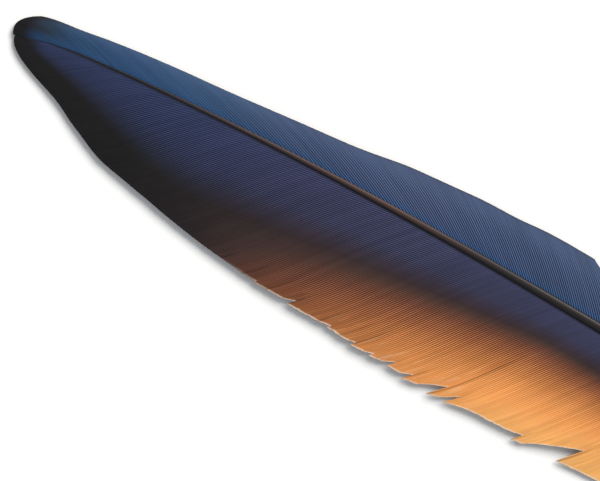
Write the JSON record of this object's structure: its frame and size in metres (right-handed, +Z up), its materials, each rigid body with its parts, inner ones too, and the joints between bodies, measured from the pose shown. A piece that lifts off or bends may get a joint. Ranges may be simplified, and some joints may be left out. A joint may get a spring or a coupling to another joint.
{
  "type": "wing feather",
  "caption": "Long flight feather of a left wing, lying on its underside: tapering shaft, narrow blue outer vane, broad blue and orange inner vane with split edge.",
  "frame": {"origin": "middle of the feather's plan, on the surface that it lies on", "axes": "+X along the feather to the quill's end, +Y to the narrow outer vane's side, +Z up through the glossy upper side"},
  "size_m": [0.26, 0.04, 0.006],
  "materials": {
    "shaft": "smooth dark brown keratin, paler and translucent at the quill",
    "outer_vane": "satin blue barbs of keratin, finely ribbed",
    "inner_vane": "satin barbs, dark blue by the shaft, then near black, then orange at the edge",
    "down": "matte loose grey down"
  },
  "bodies": {
    "root": {"shaft": "shaft", "outer_vane": "outer_vane", "inner_vane": "inner_vane", "outer_down": "down", "inner_down": "down"}
  },
  "joints": []
}
